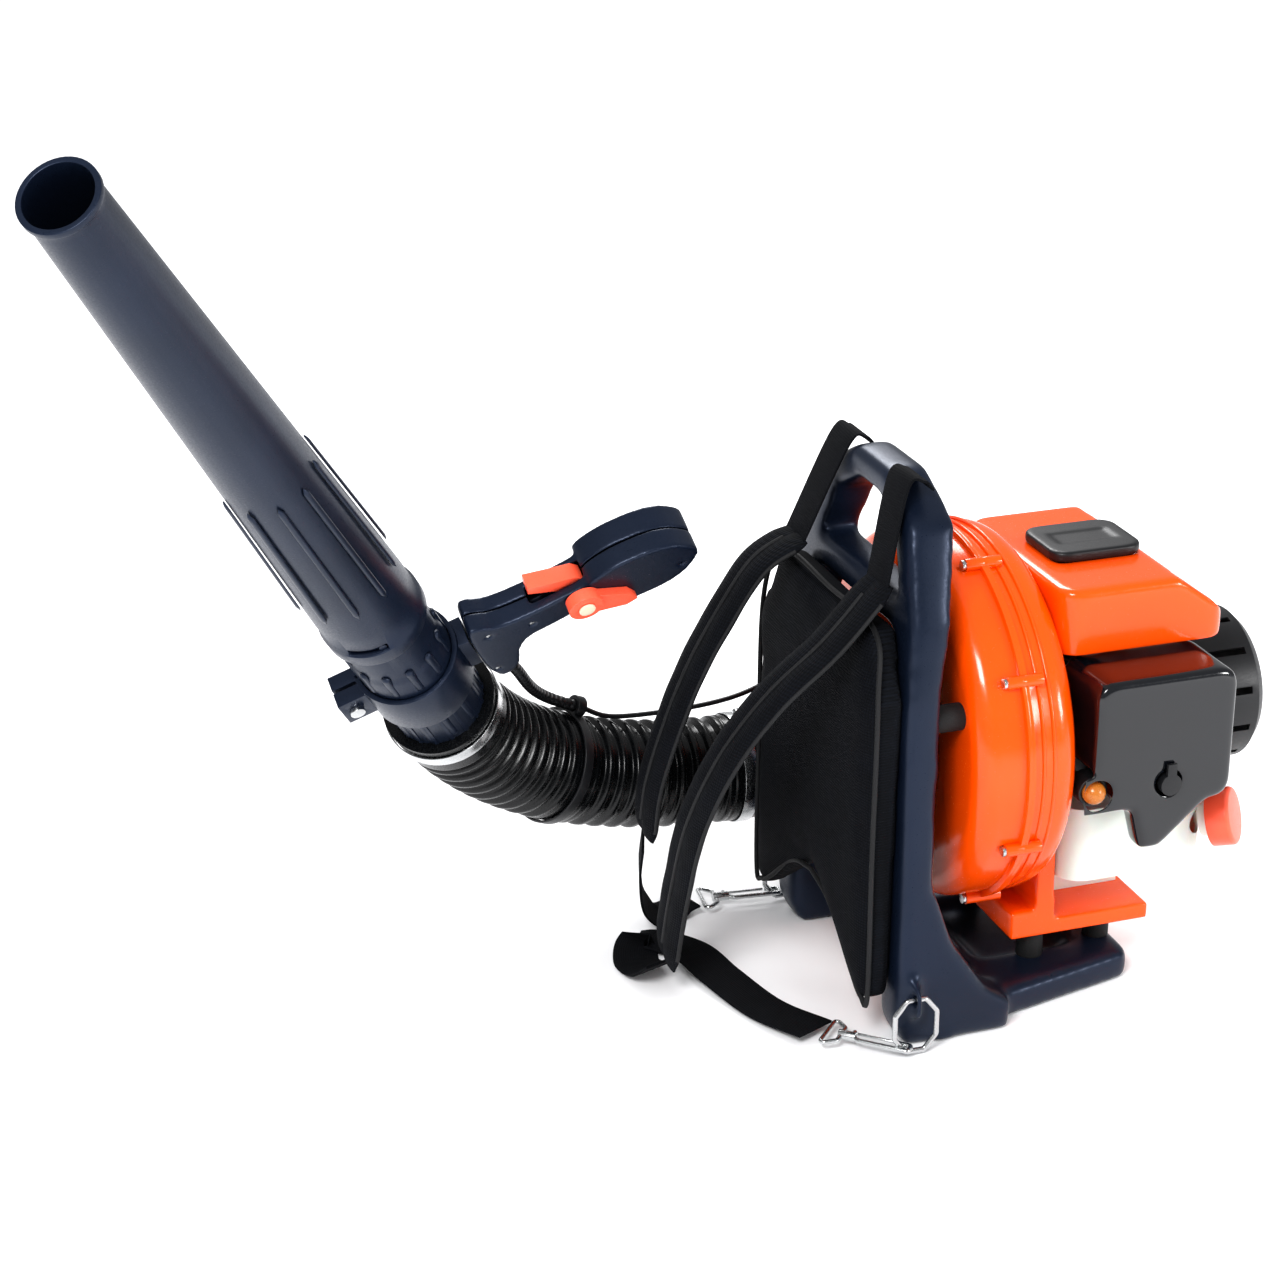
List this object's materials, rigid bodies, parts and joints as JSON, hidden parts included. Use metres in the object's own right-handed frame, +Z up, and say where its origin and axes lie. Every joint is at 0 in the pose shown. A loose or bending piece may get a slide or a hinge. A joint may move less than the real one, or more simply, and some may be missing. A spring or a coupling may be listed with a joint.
{
  "type": "backpack leaf blower",
  "caption": "Backpack leaf blower with a petrol engine, orange blower housing, dark frame with padded harness, corrugated hose and a tube with a throttle handle.",
  "frame": {"origin": "on the floor, under the middle of the frame's base", "axes": "+X from the wearer's back towards the engine, +Y to the wearer's right, +Z up"},
  "size_m": [1.0046, 0.5561, 0.7997],
  "materials": {
    "slate_plastic": "satin",
    "pad_fabric": "woven",
    "webbing": "ribbed weave",
    "bright_steel": "bright plated",
    "orange_shell": "gloss",
    "black_plastic": "satin",
    "gloss_black": "gloss",
    "cast_aluminium": "cast",
    "black_steel": "heat-proof black",
    "rubber": "matte",
    "filter_felt": "felt",
    "amber_plastic": "clear amber",
    "milky_plastic": "translucent",
    "coral_plastic": "satin",
    "cream_plastic": "satin"
  },
  "bodies": {
    "root": {"backpack_frame": "slate_plastic", "back_pad": "pad_fabric", "left_shoulder_strap": "pad_fabric", "right_shoulder_strap": "pad_fabric", "upper_webbing": "webbing", "lower_webbing": "webbing", "volute_front": "orange_shell", "volute_rear": "orange_shell", "volute_screws": "bright_steel", "outlet_elbow": "black_plastic", "crankcase": "cast_aluminium", "main_bearings": "bright_steel", "cylinder": "cast_aluminium", "piston": "cast_aluminium", "spark_plug": "bright_steel", "spark_plug_boot": "rubber", "ignition_coil": "black_plastic", "muffler": "black_steel", "starter_housing": "black_plastic", "engine_bracket": "orange_shell", "rubber_isolators": "rubber", "engine_top_cover": "orange_shell", "plug_cover": "black_plastic", "carburettor": "cast_aluminium", "air_cleaner_base": "black_plastic", "air_filter": "filter_felt", "air_cleaner_cover": "gloss_black", "fuel_tank": "milky_plastic", "fuel_line": "rubber", "blower_hose": "gloss_black", "rear_hose_clamp": "bright_steel"},
    "wand": {"lower_tube": "slate_plastic", "handle_clamp": "slate_plastic", "left_grip_half": "black_plastic", "right_grip_half": "black_plastic", "handle_screws": "bright_steel", "pivot_pin": "cream_plastic", "trigger_spring": "bright_steel", "front_hose_clamp": "bright_steel", "throttle_conduit": "black_plastic"},
    "hose_middle": {"hose_cable_clip": "black_plastic"},
    "nozzle_body": {"nozzle": "slate_plastic"},
    "trigger_body": {"trigger": "coral_plastic"},
    "cruise_body": {"cruise_lever": "coral_plastic"},
    "throttle_body": {"throttle_arm": "bright_steel"},
    "rotor": {"fan_impeller": "black_plastic", "crankshaft": "bright_steel", "flywheel": "cast_aluminium"},
    "starter_grip": {"starter_handle": "black_plastic"},
    "pulley": {"starter_pulley": "black_plastic"},
    "cap_seal": {"cap_gasket": "rubber"},
    "cap": {"fuel_cap": "coral_plastic"},
    "choke": {"choke_lever": "black_plastic"},
    "primer": {"primer_bulb": "amber_plastic"},
    "left_ring": {"left_harness_ring": "bright_steel", "left_snap_hook": "bright_steel"},
    "right_ring": {"right_harness_ring": "bright_steel", "right_snap_hook": "bright_steel"},
    "left_gate": {"left_hook_gate": "bright_steel"},
    "right_gate": {"right_hook_gate": "bright_steel"}
  },
  "joints": [
    {"name": "hose_swing", "type": "hinge", "parent": "root", "child": "hose_middle", "pos_m": [-0.29898, 0.173, 0.14529], "axis": [0, 0, 1], "range_deg": [-30, 5], "deforming": ["blower_hose"]},
    {"name": "hose_lift", "type": "hinge", "parent": "hose_middle", "child": "wand", "pos_m": [-0.29898, 0.173, 0.14529], "axis": [0.7749, -0.632, 0], "range_deg": [-10, 30], "deforming": ["blower_hose", "throttle_conduit"]},
    {"name": "nozzle_twist", "type": "hinge", "parent": "wand", "child": "nozzle_body", "pos_m": [-0.49489, 0.00328, 0.3827], "axis": [-0.4383, -0.5373, 0.7206], "range_deg": [0, 34]},
    {"name": "trigger_pull", "type": "hinge", "parent": "wand", "child": "trigger_body", "pos_m": [-0.32355, 0.02903, 0.3715], "axis": [-0.0871, 0.8232, 0.561], "range_deg": [-16, 0], "stiffness_Nm_per_rad": 0.3},
    {"name": "cruise_turn", "type": "hinge", "parent": "wand", "child": "cruise_body", "pos_m": [-0.32355, 0.02903, 0.3715], "axis": [-0.0871, 0.8232, 0.561], "range_deg": [-45, 0]},
    {"name": "throttle_turn", "type": "hinge", "parent": "root", "child": "throttle_body", "pos_m": [0.1044, -0.05, 0.249], "axis": [1, 0, 0], "range_deg": [0, 60]},
    {"name": "fan_spin", "type": "hinge", "parent": "root", "child": "rotor", "pos_m": [0, 0, 0.22], "axis": [1, 0, 0], "continuous": true},
    {"name": "starter_pull", "type": "slide", "parent": "root", "child": "starter_grip", "axis": [0, 1, 0], "range_m": [0, 0.6]},
    {"name": "pulley_spin", "type": "hinge", "parent": "root", "child": "pulley", "pos_m": [0.214, 0, 0.22], "axis": [1, 0, 0], "range_deg": [0, 1300]},
    {"name": "cap_lift", "type": "slide", "parent": "root", "child": "cap_seal", "axis": [0.7401, -0.6201, 0.2601], "range_m": [0, 0.012]},
    {"name": "cap_turn", "type": "hinge", "parent": "cap_seal", "child": "cap", "pos_m": [0.179, -0.083, 0.138], "axis": [0.7401, -0.6201, 0.2601], "range_deg": [0, 1081]},
    {"name": "choke_turn", "type": "hinge", "parent": "root", "child": "choke", "pos_m": [0.112, -0.142, 0.206], "axis": [0, 1, 0], "range_deg": [0, 70]},
    {"name": "primer_press", "type": "slide", "parent": "root", "child": "primer", "axis": [0, 1, 0], "range_m": [0, 0.004], "stiffness_N_per_m": 400},
    {"name": "left_ring_swing", "type": "hinge", "parent": "root", "child": "left_ring", "pos_m": [-0.098, -0.141, 0.05], "axis": [1, 0, 0], "range_deg": [-60, 0], "deforming": ["lower_webbing"]},
    {"name": "left_gate_open", "type": "hinge", "parent": "left_ring", "child": "left_gate", "pos_m": [-0.13437, -0.11112, 0.0094], "axis": [0, 0, 1], "range_deg": [-8, 0], "stiffness_Nm_per_rad": 0.05},
    {"name": "right_ring_swing", "type": "hinge", "parent": "root", "child": "right_ring", "pos_m": [-0.098, 0.141, 0.05], "axis": [1, 0, 0], "range_deg": [0, 60], "deforming": ["lower_webbing"]},
    {"name": "right_gate_open", "type": "hinge", "parent": "right_ring", "child": "right_gate", "pos_m": [-0.14761, 0.15061, 0.0094], "axis": [0, 0, 1], "range_deg": [-8, 0], "stiffness_Nm_per_rad": 0.05}
  ],
  "couplings": [
    {"joint": "throttle_turn", "follows": "trigger_pull", "ratio": -3.4},
    {"joint": "pulley_spin", "follows": "starter_pull", "rad_per_m": 37.7},
    {"joint": "cap_turn", "follows": "cap_lift", "rad_per_m": 1570.8}
  ]
}
